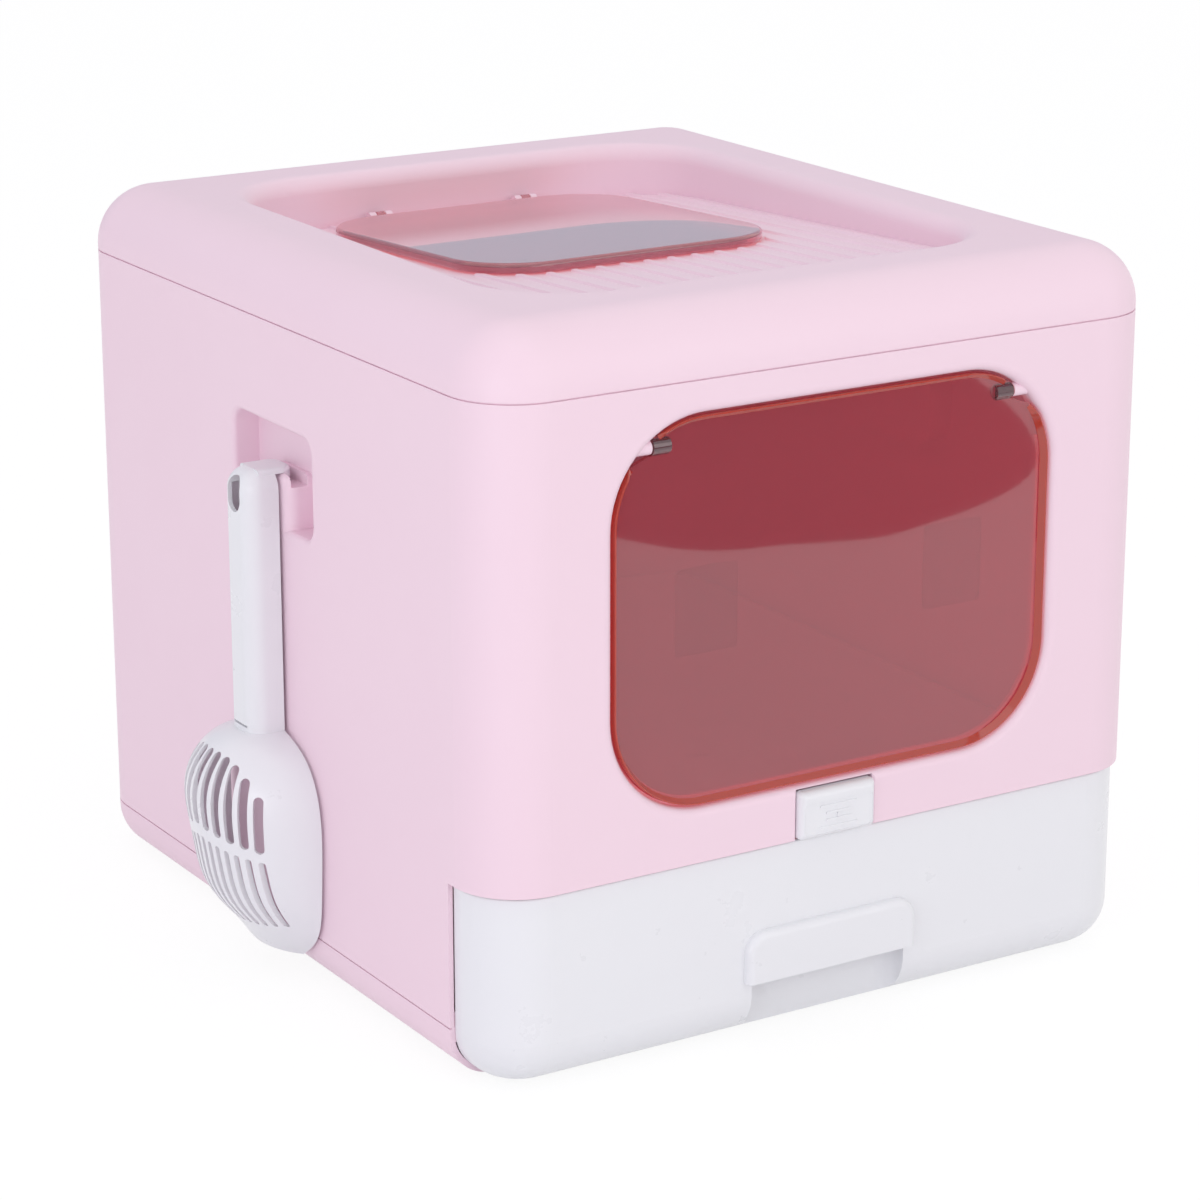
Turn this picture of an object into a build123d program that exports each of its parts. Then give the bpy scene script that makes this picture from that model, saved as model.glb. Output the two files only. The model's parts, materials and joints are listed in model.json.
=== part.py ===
"""Top-entry litter box: a moulded housing with a swing door in front, a lid with a flap over
a hole in its sunken tread, a pull-out litter drawer, a latch clip and a scoop hung on the side.

Millimetres, +Z up, front at -Y. The origin lies on the floor under the middle of the housing.
"""

import os

from build123d import *

os.makedirs("parts", exist_ok=True)

# Housing: outline, walls and the heights of its seams
body_width = 400.0
body_depth = 450.0
body_height = 383.4
corner_radius = 35.0
wall = 2.5
base_height = 28.4
lid_height = 35.0
seam_gap = 1.2
groove_height = 0.8
groove_inset = 1.2

# Fits shared by many pieces, and the length by which cuts run past a face
fit_clearance = 0.3
pin_clearance = 0.05
bevel_angle = 45.0
overrun = 10.0

# Base: floor, rounded lower edge, runners and the lip that locates the walls
base_floor = 3.0
base_edge_radius = 25.0
runner_width = 8.0
runner_height = 2.0
runner_spacing = 300.0
lip_thickness = 2.0
lip_height = 8.0
lip_root = 8.0

# Drawer: face, tray and hooded grip
drawer_height = 103.4
face_inset = 3.0
face_wall = 3.0
face_return = 41.0
face_end_gap = 0.3
face_edge_radius = 1.4
face_foot_radius = 25.0
floor_gap = 1.0
tray_wall = 2.5
tray_drop = 3.0
tray_clearance = 1.5
tray_corner = 28.0
tray_foot_radius = 19.0
hood_width = 104.0
hood_height = 27.0
hood_bottom = 32.9
hood_reach = 5.0
hood_wall = 4.0
hood_corner = 12.0
hood_edge_radius = 4.0
grip_width = 94.0
grip_depth = 14.0
grip_corner = 9.0

# Door opening in the front wall
door_side = 69.0
door_head = 16.5
door_sill = 1.6
door_corner = 53.0
door_edge_radius = 4.8
jamb_depth = 12.0
stop_width = 5.0
stop_thickness = 2.0
stop_drop = 26.0

# Swing door
flap_setback = 5.0
flap_thickness = 3.0
flap_edge_gap = 1.2
flap_stop_gap = 0.5
flap_hinge_drop = 14.0
flap_edge_bevel = 0.6
door_barrel_radius = 4.0
door_barrel_length = 10.0
door_barrel_inset = 34.0
door_pin_radius = 2.5
door_boss_radius = 3.6
door_boss_gap = 0.8
door_boss_length = 12.5
notch_ledge = 1.3
notch_fall = 8.5
pad_width = 36.0
pad_height = 44.0
pad_corner = 6.0
pad_thickness = 0.3
pad_spacing = 148.0

# Hand recess in each side wall, with the tongue that the scoop hooks over
recess_grip_width = 86.0
recess_grip_height = 53.0
recess_grip_drop = 53.0
recess_grip_corner = 9.0
recess_grip_depth = 15.0
recess_grip_place = -6.0
recess_edge_radius = 3.0
tongue_width = 34.0
tongue_height = 28.5
tongue_edge_radius = 4.0
tongue_side_radius = 7.0
tongue_lip = 3.0
tongue_groove_depth = 6.0
tongue_groove_width = 9.0

# Lid: crown, sunken tread, ribs and the hole under the flap
crown_size = 32.0
skirt_depth = 8.0
skirt_thickness = 2.0
skirt_root = 5.0
well_side_rim = 59.0
well_end_rim = 62.0
well_corner = 48.0
well_rim_radius = 9.0
tread_back_drop = 29.5
tread_front_drop = 13.3
rib_pitch = 14.7
rib_width = 4.4
rib_height = 1.2
rib_taper = 35.0

# Top flap and its two hinges
top_flap_side_gap = 48.0
top_flap_front_gap = 117.0
top_flap_corner = 40.0
top_flap_height = 6.0
top_flap_wall = 2.5
top_flap_edge_radius = 2.2
top_flap_back_gap = 11.0
top_flap_lift = 0.3
top_flap_overlap = 8.0
top_flap_clearance = 1.5
hinge_spacing = 94.0
hinge_barrel_length = 5.0
hinge_radius = 3.5
hinge_pin_radius = 1.5
hinge_gap = 0.5
lug_width = 4.0
lug_root = 1.0

# Latch clip over the drawer's seam
latch_width = 46.0
latch_height = 25.5
latch_thickness = 6.5
latch_proud = 4.0
latch_side_gap = 0.3
latch_top_gap = 1.0
latch_corner = 2.5
latch_top_radius = 4.0
latch_axis_depth = 2.6
latch_axis_drop = 4.2
latch_barrel_radius = 3.2
latch_barrel_length = 40.0
latch_pin_radius = 1.25
latch_pocket_depth = 8.5
latch_pocket_bevel = 1.2
latch_frame_width = 2.2
latch_panel_depth = 0.8
latch_rib_length = 23.0
latch_rib_width = 1.2
latch_rib_height = 0.6
latch_rib_pitch = 3.8
latch_short_rib_length = 15.7
latch_dot_radius = 1.2

# Scoop, hung close to the side wall
scoop_gap = 2.0
scoop_floor_gap = 14.9
scoop_place = -3.2
scoop_wall = 2.2
handle_width = 28.4
handle_depth = 18.5
handle_corner = 9.5
handle_top_radius = 11.0
hook_width = 21.0
hook_thickness = 3.0
hook_lip_depth = 4.0
hook_lip_thickness = 6.0
hook_corner = 7.0
hook_edge_radius = 2.5
hang_slot_length = 19.0
hang_slot_width = 13.0
hang_slot_drop = 13.0
snap_slit_length = 15.0
snap_slit_width = 1.2
snap_slit_rise = 3.0
neck_height = 18.0
bowl_half_width = 53.0
bowl_depth = 45.8
bowl_length = 119.5

# Slots through the bowl: an upper row fanned round an upright axis, a lower row of parallel slots
upper_slot_count = 11
upper_slot_width = 5.5
upper_slot_angle = 9.1
upper_slot_axis = 9.0
upper_slot_top = 112.0
upper_slot_top_fall = 17.0
upper_slot_bottom = 72.5
upper_slot_bottom_fall = 8.5
lower_slot_count = 14
lower_slot_width = 3.0
lower_slot_pitch = 5.8
lower_slot_top = 66.5
lower_slot_top_fall = 7.3
lower_slot_bottom = 17.0
lower_slot_bottom_rise = 4.0

# Bowl outline, from tip to neck: shares of its length, half width and depth
bowl_height_shares = (0.0, 0.035, 0.10, 0.25, 0.50, 0.75, 0.92, 0.97, 1.0)
bowl_width_shares = (0.557, 0.666, 0.828, 0.960, 1.0, 0.955, 0.698, 0.48, 0.268)
bowl_depth_shares = (0.245, 0.312, 0.430, 0.738, 0.928, 1.0, 0.797, 0.655, 0.459)

# Places worked out from the sizes above
half_width = body_width / 2
half_depth = body_depth / 2
inner_width = body_width - 2 * wall
inner_depth = body_depth - 2 * wall
inner_corner = corner_radius - wall
lid_seam = body_height - lid_height
mouth_top = drawer_height + seam_gap
lip_width = inner_width - 2 * fit_clearance
lip_depth = inner_depth - 2 * fit_clearance
lip_corner = inner_corner - fit_clearance
latch_bottom = mouth_top
latch_top = latch_bottom + latch_height
latch_pocket_top = latch_top + latch_top_gap
door_width = body_width - 2 * door_side
door_bottom = latch_pocket_top + door_sill
door_top = lid_seam - door_head
door_height = door_top - door_bottom
door_middle = (door_top + door_bottom) / 2
front = Plane.XZ.offset(half_depth)


# Base tray: a floor with a low rounded wall on three sides, open in front for the drawer's face
with BuildPart() as base_hollow:
    with BuildSketch(Plane.XY.offset(base_floor)):
        RectangleRounded(inner_width, inner_depth, inner_corner)
    extrude(amount=base_height)
    fillet(base_hollow.faces().sort_by(Axis.Z)[0].edges(), base_edge_radius - wall)

with BuildPart() as base_tray:
    with BuildSketch():
        RectangleRounded(body_width, body_depth, corner_radius)
    extrude(amount=base_height)
    fillet(base_tray.faces().sort_by(Axis.Z)[0].edges(), base_edge_radius)
    add(base_hollow.part, mode=Mode.SUBTRACT)
    # the lip stands inside the walls of the body shell
    with BuildSketch(Plane.XY.offset(base_height - lip_root)):
        RectangleRounded(inner_width, inner_depth, inner_corner)
        RectangleRounded(
            lip_width - 2 * lip_thickness,
            lip_depth - 2 * lip_thickness,
            lip_corner - lip_thickness,
            mode=Mode.SUBTRACT,
        )
    extrude(amount=lip_root)
    with BuildSketch(Plane.XY.offset(base_height)):
        RectangleRounded(lip_width, lip_depth, lip_corner)
        RectangleRounded(
            lip_width - 2 * lip_thickness,
            lip_depth - 2 * lip_thickness,
            lip_corner - lip_thickness,
            mode=Mode.SUBTRACT,
        )
    extrude(amount=lip_height)
    # the front is left open for the drawer's face
    with BuildSketch():
        with Locations((0, -half_depth)):
            Rectangle(body_width + overrun, 2 * face_return)
    extrude(amount=base_height + lip_height, mode=Mode.SUBTRACT)
    # a shallow groove outlines the seam
    with BuildSketch(Plane.XY.offset(base_height - groove_height)):
        Rectangle(body_width + overrun, body_depth + overrun)
        RectangleRounded(
            body_width - 2 * groove_inset,
            body_depth - 2 * groove_inset,
            corner_radius - groove_inset,
            mode=Mode.SUBTRACT,
        )
    extrude(amount=groove_height, mode=Mode.SUBTRACT)
    # two runners carry the drawer
    runner_length = inner_depth - 2 * base_edge_radius - face_return
    with BuildSketch(Plane.XY.offset(base_floor)):
        with Locations((0, face_return / 2)):
            with GridLocations(runner_spacing, 0, 2, 1):
                Rectangle(runner_width, runner_length)
    extrude(amount=runner_height)
base_tray.part.label = "base_tray"
export_step(base_tray.part, "parts/base_tray.step")


# Body shell: four walls, with the door opening, the drawer mouth, hand recesses and latch pocket
door_axis_depth = flap_setback + flap_thickness / 2
door_axis_y = -half_depth + door_axis_depth
door_axis_z = door_top - flap_hinge_drop
door_barrel_inner = door_width / 2 - door_barrel_inset
door_boss_inner = door_barrel_inner + door_barrel_length + door_boss_gap
door_pin_end = door_boss_inner + door_boss_length
stop_depth = flap_setback + flap_thickness + flap_stop_gap
latch_axis_y = -half_depth + latch_axis_depth
latch_axis_z = latch_top - latch_axis_drop
latch_pocket_width = latch_width + 2 * latch_side_gap
recess_grip_bottom = lid_seam - recess_grip_drop - recess_grip_height
recess_grip_middle = recess_grip_bottom + recess_grip_height / 2
recess_grip_top = recess_grip_bottom + recess_grip_height
recess_grip_front = recess_grip_place - recess_grip_width / 2
recess_grip_back = recess_grip_place + recess_grip_width / 2
tongue_top = recess_grip_bottom + tongue_height


def tongue_form(side):
    """Post in the hand recess of one side, rounded along its upright edges and its top."""
    root = recess_grip_bottom - recess_edge_radius - wall / 2
    with BuildPart() as post:
        with BuildSketch(Plane.XY.offset(root)):
            with Locations((side * half_width, recess_grip_place)):
                Rectangle(2 * (recess_grip_depth + wall / 2), tongue_width)
            with Locations((side * (half_width + body_width / 2), recess_grip_place)):
                Rectangle(body_width, body_width, mode=Mode.SUBTRACT)
        extrude(amount=tongue_top - root)
        upright = post.edges().filter_by(Axis.Z).group_by(Axis.X)[-1 if side > 0 else 0]
        fillet(upright, min(tongue_side_radius, tongue_width / 3))
        top_ends = post.faces().sort_by(Axis.Z)[-1].edges().filter_by(Axis.X)
        fillet(top_ends, tongue_edge_radius)
    return post.part


with BuildPart() as body_shell:
    with BuildSketch(Plane.XY.offset(base_height)):
        RectangleRounded(body_width, body_depth, corner_radius)
        RectangleRounded(inner_width, inner_depth, inner_corner, mode=Mode.SUBTRACT)
    extrude(amount=lid_seam - base_height)
    with BuildSketch(Plane.XY.offset(base_height - overrun)):
        with Locations((0, -half_depth)):
            Rectangle(body_width + overrun, 2 * face_return)
    extrude(amount=mouth_top - base_height + overrun, mode=Mode.SUBTRACT)
    # block that the latch clip's pocket is cut from
    with BuildSketch(front):
        with Locations((0, (mouth_top + latch_pocket_top + wall) / 2)):
            Rectangle(latch_pocket_width + 2 * wall, latch_pocket_top + wall - mouth_top)
    extrude(amount=-(latch_pocket_depth + wall))
    # jamb round the door opening, with its outer edge rounded
    with BuildSketch(front):
        with Locations((0, door_middle)):
            RectangleRounded(door_width + 2 * wall, door_height + 2 * wall, door_corner + wall)
    extrude(amount=-jamb_depth)
    with BuildSketch(front):
        with Locations((0, door_middle)):
            RectangleRounded(door_width, door_height, door_corner)
    extrude(amount=-jamb_depth, mode=Mode.SUBTRACT)
    door_edges = (
        body_shell.edges()
        .group_by(Axis.Y)[0]
        .filter_by_position(Axis.X, -door_width / 2, door_width / 2)
        .filter_by_position(Axis.Z, door_bottom, door_top)
    )
    fillet(door_edges, door_edge_radius)
    # stop behind the swing door, along its sides and foot
    with BuildSketch(front.offset(-stop_depth)):
        with Locations((0, door_middle)):
            RectangleRounded(door_width + wall, door_height + wall, door_corner + wall / 2)
            RectangleRounded(
                door_width - 2 * stop_width,
                door_height - 2 * stop_width,
                door_corner - stop_width,
                mode=Mode.SUBTRACT,
            )
        with Locations((0, door_axis_z - stop_drop + door_height / 2)):
            Rectangle(door_width + 2 * wall, door_height, mode=Mode.SUBTRACT)
    extrude(amount=-stop_thickness)
    # bosses that hold the door's pins
    for side in (-1, 1):
        with BuildSketch(Plane.YZ.offset(side * door_boss_inner)):
            with Locations((door_axis_y, door_axis_z)):
                Circle(door_boss_radius)
        extrude(amount=side * door_boss_length)
        with BuildSketch(Plane.YZ.offset(side * door_boss_inner)):
            with Locations((door_axis_y, door_axis_z)):
                Circle(door_pin_radius)
        extrude(amount=side * (door_boss_length - wall), mode=Mode.SUBTRACT)
    # hand recesses, each with a tongue for the scoop's hook
    for side in (-1, 1):
        side_plane = Plane.YZ.offset(side * half_width)
        outermost = -1 if side > 0 else 0
        with BuildSketch(side_plane):
            with Locations((recess_grip_place, recess_grip_middle)):
                RectangleRounded(
                    recess_grip_width + 2 * wall,
                    recess_grip_height + 2 * wall,
                    recess_grip_corner + wall,
                )
        extrude(amount=-side * (recess_grip_depth + wall))
        with BuildSketch(side_plane):
            with Locations((recess_grip_place, recess_grip_middle)):
                RectangleRounded(recess_grip_width, recess_grip_height, recess_grip_corner)
        extrude(amount=-side * recess_grip_depth, mode=Mode.SUBTRACT)
        recess_edges = (
            body_shell.edges()
            .group_by(Axis.X)[outermost]
            .filter_by_position(Axis.Y, recess_grip_front, recess_grip_back)
            .filter_by_position(Axis.Z, recess_grip_bottom, recess_grip_top)
        )
        fillet(recess_edges, recess_edge_radius)
        add(tongue_form(side))
        groove_middle = half_width - tongue_lip - tongue_groove_width / 2
        with BuildSketch(Plane.XY.offset(tongue_top - tongue_groove_depth)):
            with Locations((side * groove_middle, recess_grip_place)):
                Rectangle(tongue_groove_width, tongue_width)
        extrude(amount=tongue_groove_depth, mode=Mode.SUBTRACT)
    # pocket for the latch clip, open in front and below, with holes for its pin
    with BuildSketch(front.offset(overrun)):
        with Locations((0, (mouth_top - overrun + latch_pocket_top) / 2)):
            Rectangle(latch_pocket_width, latch_pocket_top - mouth_top + overrun)
    extrude(amount=-(latch_pocket_depth + overrun), mode=Mode.SUBTRACT)
    with BuildSketch(front):
        with Locations((0, (mouth_top - overrun + latch_pocket_top) / 2)):
            Rectangle(
                latch_pocket_width + 2 * latch_pocket_bevel,
                latch_pocket_top - mouth_top + overrun + 2 * latch_pocket_bevel,
            )
    extrude(amount=-latch_pocket_bevel, taper=bevel_angle, mode=Mode.SUBTRACT)
    with BuildSketch(Plane.YZ):
        with Locations((latch_axis_y, latch_axis_z)):
            Circle(latch_pin_radius)
    extrude(amount=latch_pocket_width / 2 + wall, both=True, mode=Mode.SUBTRACT)
body_shell.part.label = "body_shell"
export_step(body_shell.part, "parts/body_shell.step")


# Swing door: a clear panel with moulded pads, hung from barrels in its upper corners
flap_width = door_width - 2 * flap_edge_gap
flap_height = door_height - 2 * flap_edge_gap
flap_corner = door_corner - flap_edge_gap
notch_foot = door_axis_z - door_boss_radius - door_boss_gap
notch_inner = door_barrel_inner + door_barrel_length
flap_front = front.offset(-flap_setback)

with BuildPart() as front_flap:
    with BuildSketch(flap_front):
        with Locations((0, door_middle)):
            RectangleRounded(flap_width, flap_height, flap_corner)
    extrude(amount=-flap_thickness)
    chamfer(
        front_flap.faces().sort_by(Axis.Y)[0].edges(), min(flap_edge_bevel, flap_thickness / 2)
    )
    # stepped notches clear the pin bosses, and the jamb as the door swings out
    with BuildSketch(flap_front):
        for side in (-1, 1):
            with BuildLine():
                Polyline(
                    (side * notch_inner, door_top),
                    (side * notch_inner, notch_foot),
                    (side * (notch_inner + notch_ledge), notch_foot),
                    (side * door_width / 2, notch_foot - notch_fall),
                    (side * door_width / 2, door_top),
                    close=True,
                )
            make_face()
    extrude(amount=-flap_thickness, mode=Mode.SUBTRACT)
    with BuildSketch(flap_front.offset(-flap_thickness)):
        with Locations((0, door_middle)):
            with GridLocations(pad_spacing, 0, 2, 1):
                RectangleRounded(pad_width, pad_height, pad_corner)
    extrude(amount=-pad_thickness)
    for side in (-1, 1):
        with BuildSketch(Plane.YZ.offset(side * door_barrel_inner)):
            with Locations((door_axis_y, door_axis_z)):
                Circle(door_barrel_radius)
        extrude(amount=side * door_barrel_length)
        with BuildSketch(Plane.YZ.offset(side * door_barrel_inner)):
            with Locations((door_axis_y, door_axis_z)):
                Circle(door_pin_radius + pin_clearance)
        extrude(amount=side * door_barrel_length, mode=Mode.SUBTRACT)
front_flap.part.label = "front_flap"
export_step(front_flap.part, "parts/front_flap.step")


# Pins of the swing door, fixed in the bosses of the body shell
for side, name in ((-1, "front_flap_pin_left"), (1, "front_flap_pin_right")):
    with BuildPart() as front_flap_pin:
        with BuildSketch(Plane.YZ.offset(side * (door_barrel_inner + fit_clearance))):
            with Locations((door_axis_y, door_axis_z)):
                Circle(door_pin_radius)
        extrude(amount=side * (door_pin_end - wall - door_barrel_inner - 2 * fit_clearance))
    front_flap_pin.part.label = name
    export_step(front_flap_pin.part, f"parts/{name}.step")


# Drawer: a face that wraps the front corners, a tray behind it and a hooded grip
face_width = body_width - 2 * face_inset
face_depth = body_depth - 2 * face_inset
face_corner = corner_radius - face_inset
face_front = half_depth - face_inset
tray_bottom = base_floor + runner_height
tray_top = drawer_height - tray_drop
tray_width = lip_width - 2 * (lip_thickness + tray_clearance)
tray_back = lip_depth / 2 - lip_thickness - tray_clearance
tray_front = -face_front + face_wall / 2
tray_length = tray_back - tray_front
tray_middle = (tray_back + tray_front) / 2
hood_top = hood_bottom + hood_height
grip_top = hood_top - hood_wall
face_plane = Plane.XZ.offset(face_front)

# Outer form of the drawer's face, rounded at its foot like the base
with BuildPart() as face_form:
    with BuildSketch(Plane.XY.offset(floor_gap)):
        RectangleRounded(face_width, face_depth, face_corner)
    extrude(amount=drawer_height - floor_gap)
    fillet(face_form.faces().sort_by(Axis.Z)[0].edges(), face_foot_radius)

with BuildPart() as face_hollow:
    with BuildSketch(Plane.XY.offset(tray_bottom + tray_wall / 2)):
        RectangleRounded(
            face_width - 2 * face_wall, face_depth - 2 * face_wall, face_corner - face_wall
        )
    extrude(amount=drawer_height)
    fillet(face_hollow.faces().sort_by(Axis.Z)[0].edges(), face_foot_radius - face_wall)

with BuildPart() as tray_form:
    with BuildSketch(Plane.XY.offset(tray_bottom)):
        with Locations((0, tray_middle)):
            RectangleRounded(tray_width, tray_length, tray_corner)
    extrude(amount=tray_top - tray_bottom)
    fillet(tray_form.faces().sort_by(Axis.Z)[0].edges(), tray_foot_radius)

with BuildPart() as tray_hollow:
    with BuildSketch(Plane.XY.offset(tray_bottom + tray_wall)):
        with Locations((0, tray_middle)):
            RectangleRounded(
                tray_width - 2 * tray_wall, tray_length - 2 * tray_wall, tray_corner - tray_wall
            )
    extrude(amount=drawer_height)
    fillet(tray_hollow.faces().sort_by(Axis.Z)[0].edges(), tray_foot_radius - tray_wall)

# Wall round the finger pocket, kept inside the form of the face
with BuildPart() as grip_wall:
    with BuildSketch():
        with Locations((0, -face_front)):
            pocket_wall = Rectangle(grip_width + 2 * wall, 2 * (grip_depth + wall))
            fillet(pocket_wall.vertices(), grip_corner + wall)
    extrude(amount=grip_top + wall)
    add(face_form.part, mode=Mode.INTERSECT)


def finger_pocket(reach):
    """Space for the fingers, from below the drawer up into the hood, reaching out past the face."""
    with BuildPart() as space:
        with BuildSketch():
            with Locations((0, -face_front)):
                pocket = Rectangle(grip_width, 2 * grip_depth)
                fillet(pocket.vertices(), grip_corner)
            with Locations((0, -face_front - reach - body_depth / 2)):
                Rectangle(body_width, body_depth, mode=Mode.SUBTRACT)
        extrude(amount=grip_top)
    return space.part


with BuildPart() as drawer:
    add(face_form.part)
    add(face_hollow.part, mode=Mode.SUBTRACT)
    with BuildSketch():
        with Locations((0, body_depth / 2 + face_return - half_depth - face_end_gap)):
            Rectangle(body_width, body_depth)
    extrude(amount=drawer_height, mode=Mode.SUBTRACT)
    fillet(
        drawer.faces().sort_by(Axis.Z)[-1].edges(),
        min(face_edge_radius, face_wall / 2 - pin_clearance),
    )
    add(tray_form.part)
    add(tray_hollow.part, mode=Mode.SUBTRACT)
    # finger pocket in the face, walled off from the tray
    add(grip_wall.part)
    add(finger_pocket(overrun), mode=Mode.SUBTRACT)
    # hood in front of the pocket's upper part
    with BuildSketch(face_plane.offset(hood_reach)):
        with Locations((0, hood_bottom)):
            hood = Rectangle(hood_width, 2 * hood_height)
            fillet(hood.vertices(), hood_corner)
        with Locations((0, hood_bottom - hood_height)):
            Rectangle(hood_width, 2 * hood_height, mode=Mode.SUBTRACT)
    extrude(amount=-(hood_reach + face_wall / 2))
    hood_edges = drawer.faces().sort_by(Axis.Y)[0].edges().filter_by_position(
        Axis.Z, hood_bottom + pin_clearance, hood_top
    )
    fillet(hood_edges, min(hood_edge_radius, hood_reach - wall / 4))
    add(finger_pocket(hood_reach - hood_wall), mode=Mode.SUBTRACT)
drawer.part.label = "drawer"
export_step(drawer.part, "parts/drawer.step")


# Latch clip: a framed plate with grip ribs, hung from a pin at its top
latch_middle = latch_bottom + latch_height / 2
latch_front = front.offset(latch_proud)

with BuildPart() as drawer_latch:
    with BuildSketch(latch_front):
        with Locations((0, latch_middle)):
            RectangleRounded(latch_width, latch_height, latch_corner)
    extrude(amount=-latch_thickness)
    fillet(
        drawer_latch.edges().filter_by(Axis.X).group_by(Axis.Z)[-1].sort_by(Axis.Y)[0],
        latch_top_radius,
    )
    with BuildSketch(latch_front):
        with Locations((0, latch_middle - latch_top_radius / 2)):
            RectangleRounded(
                latch_width - 2 * latch_frame_width,
                latch_height - latch_top_radius - 2 * latch_frame_width,
                latch_corner,
            )
    extrude(amount=-latch_panel_depth, mode=Mode.SUBTRACT)
    with BuildSketch(latch_front.offset(-latch_panel_depth)):
        with Locations((0, latch_middle - latch_top_radius / 2)):
            with GridLocations(0, 3 * latch_rib_pitch, 1, 2):
                SlotOverall(latch_rib_length, latch_rib_width)
            with GridLocations(0, latch_rib_pitch, 1, 2):
                SlotOverall(latch_short_rib_length, latch_rib_width)
            Circle(latch_dot_radius)
    extrude(amount=latch_rib_height)
    with BuildSketch(Plane.YZ):
        with Locations((latch_axis_y, latch_axis_z)):
            Circle(latch_barrel_radius)
    extrude(amount=latch_barrel_length / 2, both=True)
    with BuildSketch(Plane.YZ):
        with Locations((latch_axis_y, latch_axis_z)):
            Circle(latch_pin_radius + pin_clearance)
    extrude(amount=latch_width, both=True, mode=Mode.SUBTRACT)
drawer_latch.part.label = "drawer_latch"
export_step(drawer_latch.part, "parts/drawer_latch.step")


# Pin of the latch clip, fixed in the walls of its pocket
with BuildPart() as latch_pin:
    with BuildSketch(Plane.YZ):
        with Locations((latch_axis_y, latch_axis_z)):
            Circle(latch_pin_radius)
    extrude(amount=latch_pocket_width / 2 + wall, both=True)
latch_pin.part.label = "latch_pin"
export_step(latch_pin.part, "parts/latch_pin.step")


# Tread of the lid: a plane that falls from the front of the well to its back
well_width = body_width - 2 * well_side_rim
well_depth = body_depth - 2 * well_end_rim
rib_count = 2 * int(well_width / 2 / rib_pitch) + 1
tread_slope_share = (tread_back_drop - tread_front_drop) / well_depth
tread_middle = body_height - (tread_back_drop + tread_front_drop) / 2
tread = Plane(origin=(0, 0, tread_middle), x_dir=(1, 0, 0), z_dir=(0, tread_slope_share, 1))
top_flap_back = well_depth / 2 - top_flap_back_gap
top_flap_width = well_width - 2 * top_flap_side_gap
top_flap_length = well_depth - top_flap_back_gap - top_flap_front_gap
top_flap_middle = top_flap_back - top_flap_length / 2
hinge_place = top_flap_back + hinge_radius + hinge_gap
hinge_rise = hinge_radius + top_flap_lift
hole_width = top_flap_width - 2 * top_flap_overlap
hole_length = top_flap_length - 2 * top_flap_overlap
hole_corner = top_flap_corner - top_flap_overlap
crown_radius = min(crown_size, corner_radius - wall / 2, lid_height - groove_height)


def hinge_section(x):
    """Plane across the flap's hinge line at x: its X runs to the back along the tread, its Y up from it."""
    return Plane(
        origin=tread.from_local_coords((x, 0, 0)), x_dir=tread.y_dir, z_dir=tread.x_dir
    )


with BuildPart() as well_space:
    with BuildSketch(Plane.XY.offset(lid_seam - overrun)):
        RectangleRounded(well_width, well_depth, well_corner)
    extrude(amount=lid_height + 2 * overrun)
    split(bisect_by=tread, keep=Keep.TOP)

with BuildPart() as well_core:
    with BuildSketch(Plane.XY.offset(lid_seam - overrun)):
        RectangleRounded(well_width + 2 * wall, well_depth + 2 * wall, well_corner + wall)
    extrude(amount=lid_height + 2 * overrun)
    split(bisect_by=tread.offset(-wall), keep=Keep.TOP)

with BuildPart() as lid_cavity:
    with BuildSketch(Plane.XY.offset(lid_seam)):
        RectangleRounded(inner_width, inner_depth, inner_corner)
    extrude(amount=lid_height - wall)
    fillet(lid_cavity.faces().sort_by(Axis.Z)[-1].edges(), crown_radius - wall)
    add(well_core.part, mode=Mode.SUBTRACT)
    fillet(lid_cavity.faces().sort_by(Axis.Z)[-1].inner_wires()[0].edges(), well_rim_radius - wall)

with BuildPart() as tread_ribs:
    with BuildSketch(tread):
        with GridLocations(rib_pitch, 0, rib_count, 1):
            Rectangle(rib_width, well_depth + overrun)
    extrude(amount=rib_height, taper=rib_taper)
    add(well_space.part, mode=Mode.INTERSECT)
    with BuildSketch(tread):
        with Locations((0, top_flap_middle)):
            RectangleRounded(
                top_flap_width + 2 * top_flap_clearance,
                top_flap_length + 2 * top_flap_clearance,
                top_flap_corner + top_flap_clearance,
            )
        with Locations((0, well_depth / 2)):
            with GridLocations(hinge_spacing, 0, 2, 1):
                Rectangle(hinge_barrel_length + 3 * lug_width, well_depth / 2)
    extrude(amount=overrun, mode=Mode.SUBTRACT)

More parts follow.
